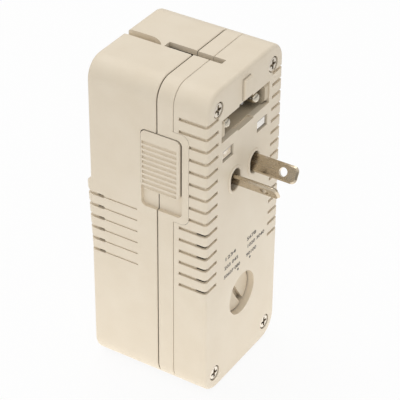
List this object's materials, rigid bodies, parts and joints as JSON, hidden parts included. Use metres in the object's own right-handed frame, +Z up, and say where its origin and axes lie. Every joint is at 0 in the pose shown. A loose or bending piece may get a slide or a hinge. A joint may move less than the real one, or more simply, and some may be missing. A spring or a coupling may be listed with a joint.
{
  "type": "travel voltage converter",
  "caption": "Upright travel voltage converter with sliding flat, round and rectangular plug pins, side latches, a coin-slot selector dial and a rear outlet.",
  "frame": {"origin": "centre of the base, on the flat bottom face of the case", "axes": "+Z up the case, -Y out of the front face with the plug pins, +X to the right as seen from the front"},
  "size_m": [0.0494, 0.0666, 0.1246],
  "materials": {
    "case_plastic": "fine moulded texture",
    "latch_plastic": "fine moulded texture",
    "dial_plastic": "fine moulded texture",
    "insert_plastic": "moulded",
    "inner_plastic": "moulded",
    "outlet_plastic": "moulded",
    "plated_metal": "nickel plated",
    "steel": "ground",
    "brass_contact": "stamped",
    "board_laminate": "paper laminate",
    "core_steel": "stacked sheets",
    "copper_winding": "enamelled wire",
    "sink_aluminium": "extruded",
    "black_resin": "moulded",
    "capacitor_film": "dipped",
    "fuse_glass": "clear"
  },
  "bodies": {
    "case": {"front_shell": "case_plastic", "middle_frame": "case_plastic", "rear_shell": "case_plastic", "face_screws": "plated_metal", "euro_guide": "insert_plastic", "guide_frame": "inner_plastic", "guide_frame_screws": "steel", "blade_guide_rods": "steel", "uk_guide_rods": "steel", "euro_guide_rods": "steel", "supply_bar_left": "brass_contact", "supply_bar_right": "brass_contact", "switch_base": "inner_plastic", "switch_terminals": "brass_contact", "link_pins": "brass_contact", "link_sockets": "brass_contact", "circuit_board": "board_laminate", "board_screws": "steel", "transformer_core": "core_steel", "transformer_bobbin": "inner_plastic", "transformer_winding": "copper_winding", "heat_sink": "sink_aluminium", "triac": "black_resin", "thermal_cutout": "black_resin", "capacitor": "capacitor_film", "fuse": "fuse_glass", "fuse_clips": "brass_contact", "outlet_insert": "outlet_plastic", "outlet_contact_left": "brass_contact", "outlet_contact_right": "brass_contact"},
    "latch_left": {"latch_slider_left": "latch_plastic", "latch_keeper_left": "inner_plastic"},
    "latch_right": {"latch_slider_right": "latch_plastic", "latch_keeper_right": "inner_plastic"},
    "selector": {"selector_dial": "dial_plastic", "selector_rotor": "inner_plastic", "selector_wiper": "brass_contact"},
    "blade_slider": {"blade_carriage": "inner_plastic", "blade_contact_left": "brass_contact", "blade_contact_right": "brass_contact"},
    "blade_left": {"blade_hub_left": "insert_plastic", "us_blade_left": "plated_metal"},
    "blade_right": {"blade_hub_right": "insert_plastic", "us_blade_right": "plated_metal"},
    "uk_slider": {"uk_carriage": "inner_plastic", "uk_pin_left": "plated_metal", "uk_pin_right": "plated_metal", "uk_earth_pin": "case_plastic", "uk_contact_left": "brass_contact", "uk_contact_right": "brass_contact"},
    "euro_slider": {"euro_carriage": "inner_plastic", "euro_pin_left": "plated_metal", "euro_pin_right": "plated_metal"}
  },
  "joints": [
    {"name": "latch_slide_left", "type": "slide", "parent": "case", "child": "latch_left", "axis": [0, 0, -1], "range_m": [0, 0.007]},
    {"name": "latch_slide_right", "type": "slide", "parent": "case", "child": "latch_right", "axis": [0, 0, -1], "range_m": [0, 0.007]},
    {"name": "selector_turn", "type": "hinge", "parent": "case", "child": "selector", "pos_m": [0.0003, -0.0236, 0.032], "axis": [0, 1, 0], "range_deg": [0, 55]},
    {"name": "blade_slide", "type": "slide", "parent": "case", "child": "blade_slider", "axis": [0, 1, 0], "range_m": [0, 0.017]},
    {"name": "blade_twist_left", "type": "hinge", "parent": "blade_slider", "child": "blade_left", "pos_m": [-0.00635, -0.0236, 0.0844], "axis": [0, 1, 0], "range_deg": [0, 30]},
    {"name": "blade_twist_right", "type": "hinge", "parent": "blade_slider", "child": "blade_right", "pos_m": [0.00635, -0.0236, 0.0844], "axis": [0, 1, 0], "range_deg": [-30, 0]},
    {"name": "uk_slide", "type": "slide", "parent": "case", "child": "uk_slider", "axis": [0, -1, 0], "range_m": [0, 0.0177]},
    {"name": "euro_slide", "type": "slide", "parent": "case", "child": "euro_slider", "axis": [0, -1, 0], "range_m": [0, 0.019]}
  ]
}
